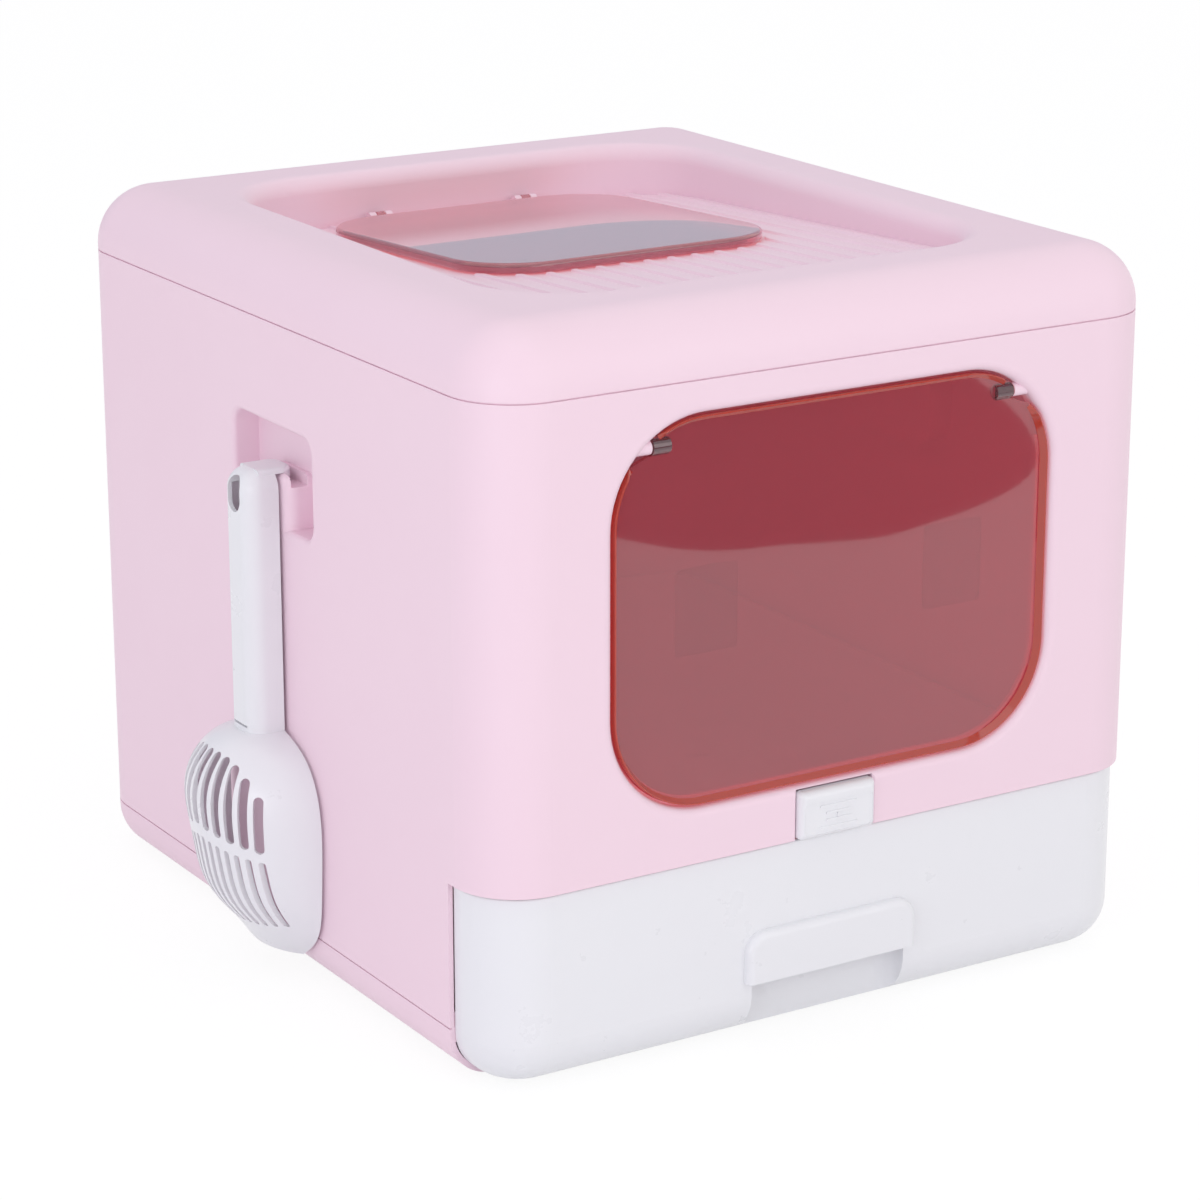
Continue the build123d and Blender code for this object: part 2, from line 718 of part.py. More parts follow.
# Lid: a rounded cover with the sunken tread, a skirt inside the walls and lugs for the flap's hinges
with BuildPart() as lid:
    with BuildSketch(Plane.XY.offset(lid_seam)):
        RectangleRounded(body_width, body_depth, corner_radius)
    extrude(amount=lid_height)
    fillet(lid.faces().sort_by(Axis.Z)[-1].edges(), crown_radius)
    add(well_space.part, mode=Mode.SUBTRACT)
    fillet(lid.faces().sort_by(Axis.Z)[-1].inner_wires()[0].edges(), well_rim_radius)
    add(lid_cavity.part, mode=Mode.SUBTRACT)
    # a shallow groove outlines the seam
    with BuildSketch(Plane.XY.offset(lid_seam)):
        Rectangle(body_width + overrun, body_depth + overrun)
        RectangleRounded(
            body_width - 2 * groove_inset,
            body_depth - 2 * groove_inset,
            corner_radius - groove_inset,
            mode=Mode.SUBTRACT,
        )
    extrude(amount=groove_height, mode=Mode.SUBTRACT)
    # skirt, rooted in the lid's own wall
    with BuildSketch(Plane.XY.offset(lid_seam - skirt_depth)):
        RectangleRounded(lip_width, lip_depth, lip_corner)
        RectangleRounded(
            lip_width - 2 * skirt_thickness,
            lip_depth - 2 * skirt_thickness,
            lip_corner - skirt_thickness,
            mode=Mode.SUBTRACT,
        )
    extrude(amount=skirt_depth)
    with BuildSketch(Plane.XY.offset(lid_seam)):
        RectangleRounded(inner_width + wall, inner_depth + wall, inner_corner + wall / 2)
        RectangleRounded(
            lip_width - 2 * skirt_thickness,
            lip_depth - 2 * skirt_thickness,
            lip_corner - skirt_thickness,
            mode=Mode.SUBTRACT,
        )
    extrude(amount=skirt_root)
    # ribs, and the hole under the flap
    add(tread_ribs.part)
    with BuildSketch(tread):
        with Locations((0, top_flap_middle)):
            RectangleRounded(hole_width, hole_length, hole_corner)
    extrude(amount=overrun, both=True, mode=Mode.SUBTRACT)
    # lugs on either side of each hinge barrel
    for side in (-1, 1):
        for end in (-1, 1):
            lug_inner = hinge_barrel_length / 2 + hinge_gap
            lug_start = side * hinge_spacing / 2 + end * lug_inner
            with BuildSketch(hinge_section(lug_start)):
                with Locations((hinge_place, hinge_rise)):
                    Circle(hinge_radius)
                with Locations((hinge_place, (hinge_rise - lug_root) / 2)):
                    Rectangle(2 * hinge_radius, hinge_rise + lug_root)
                with Locations((hinge_place, hinge_rise)):
                    Circle(hinge_pin_radius, mode=Mode.SUBTRACT)
            extrude(amount=end * lug_width)
lid.part.label = "lid"
export_step(lid.part, "parts/lid.step")


# Top flap: a clear pan turned over, with a barrel at each hinge
with BuildPart() as top_flap:
    with BuildSketch(tread.offset(top_flap_lift)):
        with Locations((0, top_flap_middle)):
            RectangleRounded(top_flap_width, top_flap_length, top_flap_corner)
    extrude(amount=top_flap_height)
    fillet(top_flap.faces().sort_by(Axis.Z)[-1].edges(), top_flap_edge_radius)
    with BuildSketch(tread.offset(top_flap_lift)):
        with Locations((0, top_flap_middle)):
            RectangleRounded(
                top_flap_width - 2 * top_flap_wall,
                top_flap_length - 2 * top_flap_wall,
                top_flap_corner - top_flap_wall,
            )
    extrude(amount=top_flap_height - top_flap_wall, mode=Mode.SUBTRACT)
    for side in (-1, 1):
        barrel_start = side * hinge_spacing / 2 - hinge_barrel_length / 2
        web_length = hinge_radius + hinge_gap + top_flap_wall / 2
        with BuildSketch(hinge_section(barrel_start)):
            with Locations((hinge_place, hinge_rise)):
                Circle(hinge_radius)
            with Locations((hinge_place - web_length / 2, hinge_rise)):
                Rectangle(web_length, hinge_radius)
            with Locations((hinge_place, hinge_rise)):
                Circle(hinge_pin_radius + pin_clearance, mode=Mode.SUBTRACT)
        extrude(amount=hinge_barrel_length)
top_flap.part.label = "top_flap"
export_step(top_flap.part, "parts/top_flap.step")


# Pins of the top flap, fixed in the lid's lugs
top_pin_length = hinge_barrel_length + 2 * (hinge_gap + lug_width)
for side, name in ((-1, "top_flap_pin_left"), (1, "top_flap_pin_right")):
    with BuildPart() as top_flap_pin:
        with BuildSketch(hinge_section(side * hinge_spacing / 2 - top_pin_length / 2)):
            with Locations((hinge_place, hinge_rise)):
                Circle(hinge_pin_radius)
        extrude(amount=top_pin_length)
    top_flap_pin.part.label = name
    export_step(top_flap_pin.part, f"parts/{name}.step")


# Places along the scoop
scoop_back = -half_width - scoop_gap
bowl_bottom = scoop_floor_gap
handle_bottom = bowl_bottom + bowl_length
handle_top = tongue_top + hook_thickness
hook_reach = scoop_gap + tongue_lip + fit_clearance + hook_lip_thickness

# Hook: a rounded plate over the tongue with a lip behind it
with BuildPart() as hook_form:
    with BuildSketch(Plane.XZ.offset(hook_width / 2 - scoop_place)):
        with BuildLine():
            Polyline(
                (scoop_back - handle_depth / 2, tongue_top),
                (scoop_back + hook_reach - hook_lip_thickness, tongue_top),
                (scoop_back + hook_reach - hook_lip_thickness, tongue_top - hook_lip_depth),
                (scoop_back + hook_reach, tongue_top - hook_lip_depth),
                (scoop_back + hook_reach, handle_top),
                (scoop_back - handle_depth / 2, handle_top),
                close=True,
            )
        make_face()
    extrude(amount=-hook_width)
    fillet(
        hook_form.faces().sort_by(Axis.X)[-1].edges().filter_by(Axis.Z),
        min(hook_corner, hook_width / 2 - pin_clearance),
    )
    fillet(
        hook_form.faces().sort_by(Axis.Z)[-1].edges().sort_by(Axis.X)[1:],
        min(hook_edge_radius, hook_thickness - fit_clearance),
    )

# Scoop handle: a half-round channel, open to the wall, with the hook at its top
with BuildPart() as scoop_handle:
    with BuildSketch(Plane.XY.offset(handle_bottom)):
        with Locations((scoop_back, scoop_place)):
            channel = Rectangle(2 * handle_depth, handle_width)
            fillet(channel.vertices(), handle_corner)
        with Locations((scoop_back + handle_depth, scoop_place)):
            Rectangle(2 * handle_depth, handle_width, mode=Mode.SUBTRACT)
    extrude(amount=handle_top - handle_bottom)
    fillet(
        scoop_handle.faces().sort_by(Axis.Z)[-1].edges().sort_by(Axis.X)[:-1],
        handle_top_radius,
    )
    with BuildSketch(Plane.XY.offset(handle_bottom)):
        with Locations((scoop_back, scoop_place)):
            hollow = Rectangle(2 * (handle_depth - scoop_wall), handle_width - 2 * scoop_wall)
            fillet(hollow.vertices(), handle_corner - scoop_wall)
    extrude(amount=tongue_top - handle_bottom - handle_top_radius / 2, mode=Mode.SUBTRACT)
    add(hook_form.part)
    # hang slot near the top, and the slit of the snap that holds the bowl
    with BuildSketch(Plane.YZ.offset(scoop_back - handle_depth - overrun)):
        with Locations((scoop_place, handle_top - hang_slot_drop)):
            SlotOverall(hang_slot_length, hang_slot_width, rotation=90)
        with Locations((scoop_place, handle_bottom + snap_slit_rise)):
            SlotOverall(snap_slit_length, snap_slit_width)
    extrude(amount=overrun + handle_depth, mode=Mode.SUBTRACT)
scoop_handle.part.label = "scoop_handle"
export_step(scoop_handle.part, "parts/scoop_handle.step")


# Scoop bowl: a shell lofted through bowed sections, slotted, with a neck inside the handle
def bowl_section(height_share, width_share, depth_share, inset, mouth):
    """Half-round sketch across the bowl, drawn in by inset and run out past its mouth."""
    span = bowl_half_width * width_share - inset
    bulge = bowl_depth * depth_share - inset
    with BuildSketch(Plane.XY.offset(bowl_bottom + bowl_length * height_share)) as section:
        with BuildLine():
            ThreePointArc(
                (scoop_back, scoop_place - span),
                (scoop_back - bulge, scoop_place),
                (scoop_back, scoop_place + span),
            )
            if mouth:
                Polyline(
                    (scoop_back, scoop_place + span),
                    (scoop_back + mouth, scoop_place + span),
                    (scoop_back + mouth, scoop_place - span),
                    (scoop_back, scoop_place - span),
                )
            else:
                Line(
                    (scoop_back, scoop_place + span), (scoop_back, scoop_place - span)
                )
        make_face()
    return section.sketch


bowl_shares = list(zip(bowl_height_shares, bowl_width_shares, bowl_depth_shares))
with BuildPart() as scoop_bowl:
    for shares in bowl_shares:
        add(bowl_section(*shares, inset=0, mouth=0))
    loft()
    for shares in bowl_shares[1:-1]:
        add(bowl_section(*shares, inset=scoop_wall, mouth=overrun))
    loft(mode=Mode.SUBTRACT)
    # upper row of slots, fanned
    for slot in range(upper_slot_count):
        turn = slot - (upper_slot_count - 1) / 2
        side_share = abs(2 * turn) / (upper_slot_count - 1)
        slot_top = bowl_bottom + upper_slot_top - upper_slot_top_fall * side_share**3
        slot_bottom = bowl_bottom + upper_slot_bottom - upper_slot_bottom_fall * side_share
        slot_plane = Plane(
            origin=(scoop_back + upper_slot_axis, scoop_place, 0),
            x_dir=Vector(0, -1, 0).rotate(Axis.Z, turn * upper_slot_angle),
            z_dir=Vector(-1, 0, 0).rotate(Axis.Z, turn * upper_slot_angle),
        )
        with BuildSketch(slot_plane):
            with Locations((0, (slot_top + slot_bottom) / 2)):
                SlotOverall(slot_top - slot_bottom, upper_slot_width, rotation=90)
        extrude(amount=upper_slot_axis + bowl_depth + overrun, mode=Mode.SUBTRACT)
    # lower row of slots, parallel
    with BuildSketch(Plane.YZ.offset(scoop_back - bowl_depth - overrun)):
        for slot in range(lower_slot_count):
            across = slot - (lower_slot_count - 1) / 2
            side_share = abs(2 * across) / (lower_slot_count - 1)
            slot_top = bowl_bottom + lower_slot_top - lower_slot_top_fall * side_share
            slot_bottom = bowl_bottom + lower_slot_bottom + lower_slot_bottom_rise * side_share**2
            with Locations(
                (scoop_place + across * lower_slot_pitch, (slot_top + slot_bottom) / 2)
            ):
                SlotOverall(slot_top - slot_bottom, lower_slot_width, rotation=90)
    extrude(amount=bowl_depth + overrun, mode=Mode.SUBTRACT)
    # neck that snaps into the handle
    neck_width = handle_width - 2 * (scoop_wall + fit_clearance)
    neck_depth = handle_depth - scoop_wall - fit_clearance
    with BuildSketch(Plane.XY.offset(handle_bottom)):
        with Locations((scoop_back, scoop_place)):
            neck = Rectangle(2 * neck_depth, neck_width)
            fillet(neck.vertices(), handle_corner - scoop_wall)
        with Locations((scoop_back + neck_depth, scoop_place)):
            Rectangle(2 * neck_depth, neck_width, mode=Mode.SUBTRACT)
    extrude(amount=neck_height)
scoop_bowl.part.label = "scoop_bowl"
export_step(scoop_bowl.part, "parts/scoop_bowl.step")
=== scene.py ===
# %% [markdown]
# # A top-entry litter box in plastic
# The real object is five mouldings in satin pink and gloss white, two flaps of clear rose sheet
# and a scoop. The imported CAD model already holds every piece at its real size, so this lesson
# dresses those pieces: it sets up the camera, the light and the finishes. It adds one form that the
# CAD pieces lack, the bevelled rim of the swing door.

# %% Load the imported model
import json
import bmesh
import bpy
import numpy as np
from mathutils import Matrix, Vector


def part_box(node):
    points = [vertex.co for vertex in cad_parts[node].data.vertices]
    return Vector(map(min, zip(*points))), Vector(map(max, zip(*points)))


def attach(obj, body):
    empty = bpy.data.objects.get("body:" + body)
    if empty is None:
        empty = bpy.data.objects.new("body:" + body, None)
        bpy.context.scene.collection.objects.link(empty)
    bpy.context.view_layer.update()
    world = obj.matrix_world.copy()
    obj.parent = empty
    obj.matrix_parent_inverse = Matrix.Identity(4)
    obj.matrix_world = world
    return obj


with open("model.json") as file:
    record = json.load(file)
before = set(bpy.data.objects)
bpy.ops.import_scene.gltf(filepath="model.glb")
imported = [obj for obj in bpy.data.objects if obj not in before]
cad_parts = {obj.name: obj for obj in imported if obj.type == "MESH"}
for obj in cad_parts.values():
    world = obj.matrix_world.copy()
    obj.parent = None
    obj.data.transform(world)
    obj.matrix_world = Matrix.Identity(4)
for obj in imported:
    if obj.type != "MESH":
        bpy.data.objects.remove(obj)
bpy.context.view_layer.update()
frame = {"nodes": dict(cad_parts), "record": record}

scene = bpy.context.scene
scene.view_settings.view_transform = "Standard"
print("pieces:", ", ".join(sorted(frame["nodes"])))

# %% [markdown]
# ## Camera
# The picture is taken from the front left, a little above the lid, with a long lens. A camera
# can be placed by eye, but here its place was worked out from the straight edges of the box, so
# it is written as a point, a target and a focal length.

# %% Place the camera
camera_place = Vector((-1.02960, -1.65861, 0.76897))
camera_target = Vector((0.00104, 0.0, 0.16748))
sensor_width_mm, focal_length_mm = 36.0, 112.16

camera = bpy.data.objects.new("camera", bpy.data.cameras.new("camera"))
camera.location = camera_place
camera.rotation_euler = (camera_target - camera_place).to_track_quat("-Z", "Y").to_euler()
camera.data.sensor_width = sensor_width_mm
camera.data.lens = focal_length_mm
scene.collection.objects.link(camera)
scene.camera = camera
print("camera distance %.2f m" % (camera_target - camera_place).length)


# %% [markdown]
# ## Small helpers for node trees
# Every finish below is a node tree. Making and linking nodes by hand takes many lines, so two
# helpers keep each tree readable: one adds a node with its settings and constant inputs, one
# links two sockets by name or number. Two more sort the rays: those that show a surface, and
# those that only carry light.

# %% Node helpers
mix_a, mix_b, mix_result = 6, 7, 2  # the colour sockets of a mix node


def add_node(tree, kind, values=None, **settings):
    """Add a node, set its own settings, then the constant values of its inputs by name or number."""
    node = tree.nodes.new(kind)
    for name, value in settings.items():
        setattr(node, name, value)
    for socket, value in (values or {}).items():
        node.inputs[socket].default_value = value
    return node


def link(tree, source, output, target, socket):
    """Join one output of a node to one input of another."""
    tree.links.new(source.outputs[output], target.inputs[socket])


def seen_rays(tree):
    """One value: 1 for rays that show the backdrop (camera, mirror and see-through), else 0."""
    path = add_node(tree, "ShaderNodeLightPath")
    first = add_node(tree, "ShaderNodeMath", operation="MAXIMUM")
    both = add_node(tree, "ShaderNodeMath", operation="MAXIMUM")
    link(tree, path, "Is Camera Ray", first, 0)
    link(tree, path, "Is Glossy Ray", first, 1)
    link(tree, first, 0, both, 0)
    link(tree, path, "Is Transmission Ray", both, 1)
    return both


def carrying_rays(tree):
    """One value: 1 for rays that only carry light (shadow and diffuse), else 0."""
    path = add_node(tree, "ShaderNodeLightPath")
    both = add_node(tree, "ShaderNodeMath", operation="MAXIMUM")
    link(tree, path, "Is Shadow Ray", both, 0)
    link(tree, path, "Is Diffuse Ray", both, 1)
    return both


# %% [markdown]
# ## Studio
# The picture has a plain white ground. A brighter lamp could burn the floor out, but it would
# burn the pale plastic out as well. So the sky and the floor are shown white to the camera and to
# reflections, and light the object at a plain level. The floor keeps a part of its own shading,
# which leaves the shadow under the box.

# %% Sky
left_tint, right_tint = (0.95, 0.93, 1.0, 1), (0.98, 0.975, 0.96, 1)
sky_level, shown_level = 0.80, 1.0

world = bpy.data.worlds.new("studio_sky")
world.use_nodes = True
scene.world = world
tree = world.node_tree
tree.nodes.clear()
direction = add_node(tree, "ShaderNodeTexCoord")
axes = add_node(tree, "ShaderNodeSeparateXYZ")
across = add_node(tree, "ShaderNodeMapRange", {"From Min": -1.0, "From Max": 1.0})
tint = add_node(tree, "ShaderNodeMix", {mix_a: left_tint, mix_b: right_tint}, data_type="RGBA")
lighting = add_node(tree, "ShaderNodeBackground", {"Strength": sky_level})
shown = add_node(tree, "ShaderNodeBackground", {"Color": (1, 1, 1, 1), "Strength": shown_level})
pick = add_node(tree, "ShaderNodeMixShader")
sky_out = add_node(tree, "ShaderNodeOutputWorld")
link(tree, direction, "Generated", axes, 0)
link(tree, axes, "X", across, "Value")
link(tree, across, "Result", tint, 0)
link(tree, tint, mix_result, lighting, "Color")
link(tree, seen_rays(tree), 0, pick, 0)
link(tree, lighting, 0, pick, 1)
link(tree, shown, 0, pick, 2)
link(tree, pick, 0, sky_out, 0)
print("sky lights the box from a pale lavender left to a warm right")

# %% Floor
floor_size = 12.0
paper_colour = (0.88, 0.88, 0.89, 1)
glow_level, glow_share = 1.05, 0.85

corners = np.array([(-1, -1, 0), (1, -1, 0), (1, 1, 0), (-1, 1, 0)]) * floor_size / 2
floor_mesh = bpy.data.meshes.new("floor")
floor_mesh.from_pydata(corners.tolist(), [], [(0, 1, 2, 3)])
floor = bpy.data.objects.new("floor", floor_mesh)
scene.collection.objects.link(floor)

paper = bpy.data.materials.new("white_paper")
paper.use_nodes = True
tree = paper.node_tree
tree.nodes.clear()
matt = add_node(tree, "ShaderNodeBsdfDiffuse", {"Color": paper_colour})
glow = add_node(tree, "ShaderNodeEmission", {"Color": (1, 1, 1, 1), "Strength": glow_level})
share = add_node(tree, "ShaderNodeMath", {1: glow_share}, operation="MULTIPLY")
pick = add_node(tree, "ShaderNodeMixShader")
paper_out = add_node(tree, "ShaderNodeOutputMaterial")
link(tree, seen_rays(tree), 0, share, 0)
link(tree, share, 0, pick, 0)
link(tree, matt, 0, pick, 1)
link(tree, glow, 0, pick, 2)
link(tree, pick, 0, paper_out, 0)
floor_mesh.materials.append(paper)
print("floor %.0f m wide" % floor_size)


# %% [markdown]
# ## Lamps
# Three soft boxes do the rest: a low key in front on the right, which lifts the front wall, a cool
# fill on the left for the side wall and the scoop, and a weak top light for the tread.

# %% Soft boxes
def soft_box(name, place, target, size, power, colour):
    """A square area lamp at place, turned towards target."""
    lamp = bpy.data.lights.new(name, "AREA")
    lamp.size = size
    lamp.energy = power
    lamp.color = colour
    box = bpy.data.objects.new(name, lamp)
    box.location = place
    box.rotation_euler = (Vector(target) - Vector(place)).to_track_quat("-Z", "Y").to_euler()
    scene.collection.objects.link(box)
    print(name, "%.0f W" % power)


soft_box(
    "key_box",
    place=(0.6, -2.2, 0.9),
    target=(0.0, -0.1, 0.2),
    size=1.6,
    power=7.5,
    colour=(1.0, 0.98, 0.96),
)
soft_box(
    "fill_box",
    place=(-1.9, -1.2, 0.55),
    target=(-0.2, 0.0, 0.2),
    size=0.9,
    power=7.5,
    colour=(0.95, 0.95, 1.0),
)
soft_box(
    "top_box",
    place=(-0.2, -0.3, 2.4),
    target=(0.0, 0.0, 0.3),
    size=1.6,
    power=4.0,
    colour=(1.0, 1.0, 1.0),
)

# %% [markdown]
# ## Cards for the mirrors
# A clear sheet shows what it mirrors. The upper edge of the swing door mirrors the floor a metre
# in front of the box, and in the picture that part is dark, so a dark card lies there. Its near
# edge is bowed, which ends the reflection in a curve. The flap in the lid mirrors what stands far
# behind the box, which is a cool grey, so a grey card stands there. Both are seen by mirror rays
# alone and light nothing.

# %% Cards
def mirror_card(name, near, far, colour):
    """A strip between two rows of points, near(u) and far(u), with its own even light.
    Only mirror rays see it."""
    points = np.concatenate([near, far])
    count = len(near)
    first = np.arange(count - 1)
    faces = np.c_[first, first + count, first + count + 1, first + 1]
    mesh = bpy.data.meshes.new(name)
    mesh.from_pydata(points.tolist(), [], faces.tolist())
    card = bpy.data.objects.new(name, mesh)
    scene.collection.objects.link(card)
    card.visible_camera = False
    card.visible_diffuse = False
    card.visible_transmission = False
    card.visible_shadow = False
    paint = bpy.data.materials.new(name + "_paint")
    paint.use_nodes = True
    paint.node_tree.nodes.clear()
    light = add_node(paint.node_tree, "ShaderNodeEmission", {"Color": colour, "Strength": 1.0})
    end = add_node(paint.node_tree, "ShaderNodeOutputMaterial")
    link(paint.node_tree, light, 0, end, 0)
    mesh.materials.append(paint)
    print(name, "of", len(faces), "faces")


card_columns, card_lift = 41, 0.002
card_left, card_right, card_near, card_far = 0.2, 1.0, -0.93, -2.6
bow_middle, bow_limit = 0.52, 1.0
left_bow, left_width, right_bow, right_width = 0.12, 0.16, 0.05, 0.20
across_card = np.linspace(card_left, card_right, card_columns)
aside = across_card - bow_middle
bow = np.where(
    across_card < bow_middle,
    left_bow * (np.abs(aside) / left_width) ** 3,
    right_bow * (aside / right_width) ** 3,
)
lift_row = np.full(card_columns, card_lift)
near_row = np.c_[across_card, card_near - np.minimum(bow, bow_limit), lift_row]
far_row = np.c_[across_card, np.full(card_columns, card_far), lift_row]
mirror_card("door_card", near_row, far_row, (0.27, 0.125, 0.13, 1))

back_left, back_right, back_depth, back_low, back_high = -2.5, 5.0, 2.2, 0.30, 2.6
low_row = np.array([(back_left, back_depth, back_low), (back_right, back_depth, back_low)])
high_row = np.array([(back_left, back_depth, back_high), (back_right, back_depth, back_high)])
mirror_card("lid_card", low_row, high_row, (0.50, 0.56, 0.66, 1))


# %% [markdown]
# ## Moulded grain
# All the plastic was moulded in steel tools. A tool leaves a fine eroded grain, a slight
# unevenness of colour where the melt flowed, and patches that shine a little more where hands
# touch. These three belong to every moulding, so they are made once, as a node group that gives
# three numbers, and each finish decides what to do with them.

# %% Grain group
def make_grain_group():
    """Noise at three sizes: Height is the tool's grain, Flow the melt's colour drift, and Touch
    the handled patches."""
    group = bpy.data.node_groups.new("moulded_grain", "ShaderNodeTree")
    group.interface.new_socket("Place", in_out="INPUT", socket_type="NodeSocketVector")
    for name in ("Grain Scale", "Flow Scale"):
        group.interface.new_socket(name, in_out="INPUT", socket_type="NodeSocketFloat")
    for name in ("Height", "Flow", "Touch"):
        group.interface.new_socket(name, in_out="OUTPUT", socket_type="NodeSocketFloat")
    start = add_node(group, "NodeGroupInput")
    end = add_node(group, "NodeGroupOutput")
    grain = add_node(group, "ShaderNodeTexNoise", {"Detail": 3.0, "Roughness": 0.6})
    flow = add_node(group, "ShaderNodeTexNoise", {"Detail": 4.0, "Roughness": 0.55, "Distortion": 0.8})
    touch = add_node(group, "ShaderNodeTexNoise", {"Scale": 42.0, "Detail": 5.0, "Roughness": 0.6})
    for node in (grain, flow, touch):
        link(group, start, "Place", node, "Vector")
    link(group, start, "Grain Scale", grain, "Scale")
    link(group, start, "Flow Scale", flow, "Scale")
    link(group, grain, 0, end, "Height")
    link(group, flow, 0, end, "Flow")
    link(group, touch, 0, end, "Touch")
    return group


grain_group = make_grain_group()
print("group:", grain_group.name)


flow_scale = 9.0


def moulded_plastic(name, pale, deep, grain_scale, grain_depth, roughness, thin_share, thin_tint):
    """Thin plastic: colour drifts with Flow, roughness with Touch, and a share of the light passes,
    tinted."""
    rough_low, rough_high = roughness
    material = bpy.data.materials.new(name)
    material.use_nodes = True
    tree = material.node_tree
    plastic = tree.nodes["Principled BSDF"]
    place = add_node(tree, "ShaderNodeTexCoord")
    grain = add_node(tree, "ShaderNodeGroup", node_tree=grain_group)
    grain.inputs["Grain Scale"].default_value = grain_scale
    grain.inputs["Flow Scale"].default_value = flow_scale
    drift = add_node(tree, "ShaderNodeMix", {mix_a: pale, mix_b: deep}, data_type="RGBA")
    shine = add_node(
        tree,
        "ShaderNodeMapRange",
        {"From Min": 0.3, "From Max": 0.7, "To Min": rough_low, "To Max": rough_high},
    )
    bump = add_node(tree, "ShaderNodeBump", {"Strength": 0.5, "Distance": grain_depth})
    link(tree, place, "Object", grain, "Place")
    link(tree, grain, "Flow", drift, 0)
    link(tree, drift, mix_result, plastic, "Base Color")
    link(tree, grain, "Touch", shine, "Value")
    link(tree, shine, "Result", plastic, "Roughness")
    link(tree, grain, "Height", bump, "Height")
    link(tree, bump, "Normal", plastic, "Normal")
    passing = add_node(tree, "ShaderNodeBsdfTransparent", {"Color": thin_tint})
    thin = add_node(tree, "ShaderNodeMath", {1: thin_share}, operation="MULTIPLY")
    pick = add_node(tree, "ShaderNodeMixShader")
    path = add_node(tree, "ShaderNodeLightPath")
    link(tree, path, "Is Shadow Ray", thin, 0)
    link(tree, thin, 0, pick, 0)
    link(tree, plastic, 0, pick, 1)
    link(tree, passing, 0, pick, 2)
    link(tree, pick, 0, tree.nodes["Material Output"], "Surface")
    return material


# %% [markdown]
# ## Satin pink and gloss white
# The walls, base and lid are a pale pink with a satin grain, which spreads highlights wide. The
# drawer, its clip and the scoop are a cool white from a polished tool, so the grain is finer and
# the roughness lower. Both are only two or three millimetres thick, so they let some light
# through, which warms the gaps between the pieces and the wall behind the scoop.

# %% The two opaque plastics
satin_pink = moulded_plastic(
    "satin_pink",
    pale=(0.90, 0.70, 0.79, 1),
    deep=(0.885, 0.675, 0.77, 1),
    grain_scale=1400.0,
    grain_depth=0.00005,
    roughness=(0.44, 0.50),
    thin_share=0.35,
    thin_tint=(0.95, 0.50, 0.60, 1),
)
gloss_white = moulded_plastic(
    "gloss_white",
    pale=(0.835, 0.842, 0.868, 1),
    deep=(0.825, 0.832, 0.86, 1),
    grain_scale=320.0,
    grain_depth=0.000004,
    roughness=(0.27, 0.30),
    thin_share=0.55,
    thin_tint=(0.97, 0.88, 0.91, 1),
)
print(satin_pink.name, gloss_white.name)

# %% [markdown]
# ## Clear rose sheet
# Both flaps are a smoky rose acrylic, the door's darker than the lid's. Solid glass alone would
# keep light out of the box, because lamps do not find their way through refraction, so rays that
# carry light meet a plain tinted filter instead, and only the rays that show the sheet meet the
# glass. A slow ripple bends the reflections as on a real moulded sheet.

# %% Rose sheet
acrylic_index, coat_roughness = 1.49, 0.02
filter_tint = (0.95, 0.56, 0.56, 1)


def clear_sheet(name, tint, gloss, ripple_depth, clearness):
    """Tinted acrylic: glass for the rays that show it, a plain filter for the rays that carry light."""
    material = bpy.data.materials.new(name)
    material.use_nodes = True
    tree = material.node_tree
    glass = tree.nodes["Principled BSDF"]
    glass.inputs["Base Color"].default_value = tint
    glass.inputs["IOR"].default_value = acrylic_index
    glass.inputs["Transmission Weight"].default_value = clearness
    glass.inputs["Coat Weight"].default_value = gloss
    glass.inputs["Coat Roughness"].default_value = coat_roughness
    place = add_node(tree, "ShaderNodeTexCoord")
    ripple = add_node(tree, "ShaderNodeTexNoise", {"Scale": 7.0, "Detail": 1.0, "Roughness": 0.4})
    haze = add_node(tree, "ShaderNodeTexNoise", {"Scale": 60.0, "Detail": 4.0})
    blur = add_node(tree, "ShaderNodeMapRange", {"To Min": 0.02, "To Max": 0.05})
    bump = add_node(tree, "ShaderNodeBump", {"Strength": 0.3, "Distance": ripple_depth})
    filter_sheet = add_node(tree, "ShaderNodeBsdfTransparent", {"Color": filter_tint})
    pick = add_node(tree, "ShaderNodeMixShader")
    link(tree, place, "Object", ripple, "Vector")
    link(tree, place, "Object", haze, "Vector")
    link(tree, haze, 0, blur, "Value")
    link(tree, blur, "Result", glass, "Roughness")
    link(tree, ripple, 0, bump, "Height")
    link(tree, bump, "Normal", glass, "Normal")
    link(tree, bump, "Normal", glass, "Coat Normal")
    link(tree, carrying_rays(tree), 0, pick, 0)
    link(tree, glass, 0, pick, 1)
    link(tree, filter_sheet, 0, pick, 2)
    link(tree, pick, 0, tree.nodes["Material Output"], "Surface")
    return material


# The rim's deep red is painted: it stands in for the lit pink stop lip seen through the door.
door_tint, flap_tint, rim_painted_lip_red = (0.60, 0.14, 0.182, 1), (0.74, 0.30, 0.37, 1), (0.56, 0.085, 0.055, 1)
door_sheet = clear_sheet("rose_door_sheet", door_tint, gloss=1.0, ripple_depth=0.002, clearness=0.78)
flap_sheet = clear_sheet("rose_flap_sheet", flap_tint, gloss=1.0, ripple_depth=0.0002, clearness=0.78)
rim_painted_lip_sheet = clear_sheet("rose_rim_painted_lip_sheet", rim_painted_lip_red, gloss=0.4, ripple_depth=0.0002, clearness=0.35)
print(door_sheet.name, flap_sheet.name, rim_painted_lip_sheet.name)

